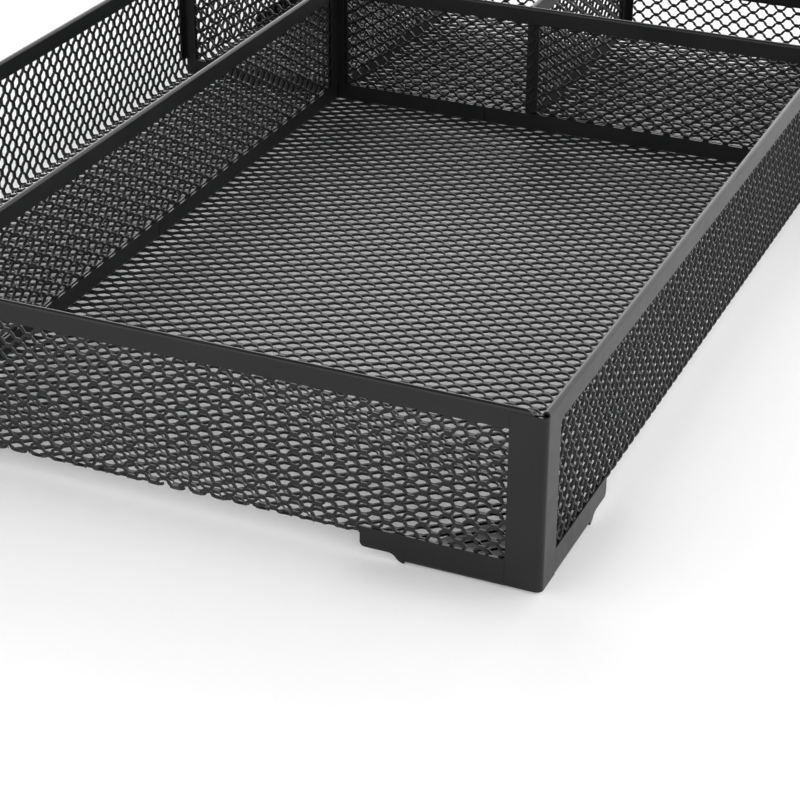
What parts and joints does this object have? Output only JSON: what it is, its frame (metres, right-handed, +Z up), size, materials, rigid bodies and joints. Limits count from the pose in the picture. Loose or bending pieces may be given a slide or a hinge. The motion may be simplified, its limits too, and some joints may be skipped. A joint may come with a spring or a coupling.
{
  "type": "desk organizer tray",
  "caption": "Low rectangular desk tray of black expanded steel mesh with a folded rim, corner posts, foot brackets and mesh dividers that part it into compartments.",
  "frame": {"origin": "on the surface the feet stand on, under the middle of the tray", "axes": "+Z up; -Y is the front, the end of the large compartment; +X is the right, the side with the large compartment"},
  "size_m": [0.253, 0.395, 0.0521],
  "materials": {
    "mesh": "satin black powder coat on expanded steel mesh",
    "strip": "satin black powder coat on folded steel strip"
  },
  "bodies": {
    "root": {"back_left_foot": "strip", "back_left_post": "strip", "back_right_foot": "strip", "back_right_post": "strip", "back_rim": "strip", "back_wall_band": "strip", "back_wall_mesh": "mesh", "cross_divider_base_strip": "strip", "cross_divider_left_end": "strip", "cross_divider_mesh": "mesh", "cross_divider_right_end": "strip", "cross_divider_top_rail": "strip", "floor_mesh": "mesh", "front_left_foot": "strip", "front_left_post": "strip", "front_right_foot": "strip", "front_right_post": "strip", "front_rim": "strip", "front_wall_mesh": "mesh", "left_rim": "strip", "left_wall_mesh": "mesh", "long_divider_back_end": "strip", "long_divider_base_strip": "strip", "long_divider_front_end": "strip", "long_divider_mesh": "mesh", "long_divider_top_rail": "strip", "rear_left_divider_back_end": "strip", "rear_left_divider_base_strip": "strip", "rear_left_divider_front_end": "strip", "rear_left_divider_mesh": "mesh", "rear_left_divider_top_rail": "strip", "rear_right_divider_back_end": "strip", "rear_right_divider_base_strip": "strip", "rear_right_divider_front_end": "strip", "rear_right_divider_mesh": "mesh", "rear_right_divider_top_rail": "strip", "right_rim": "strip", "right_wall_mesh": "mesh"}
  },
  "joints": []
}
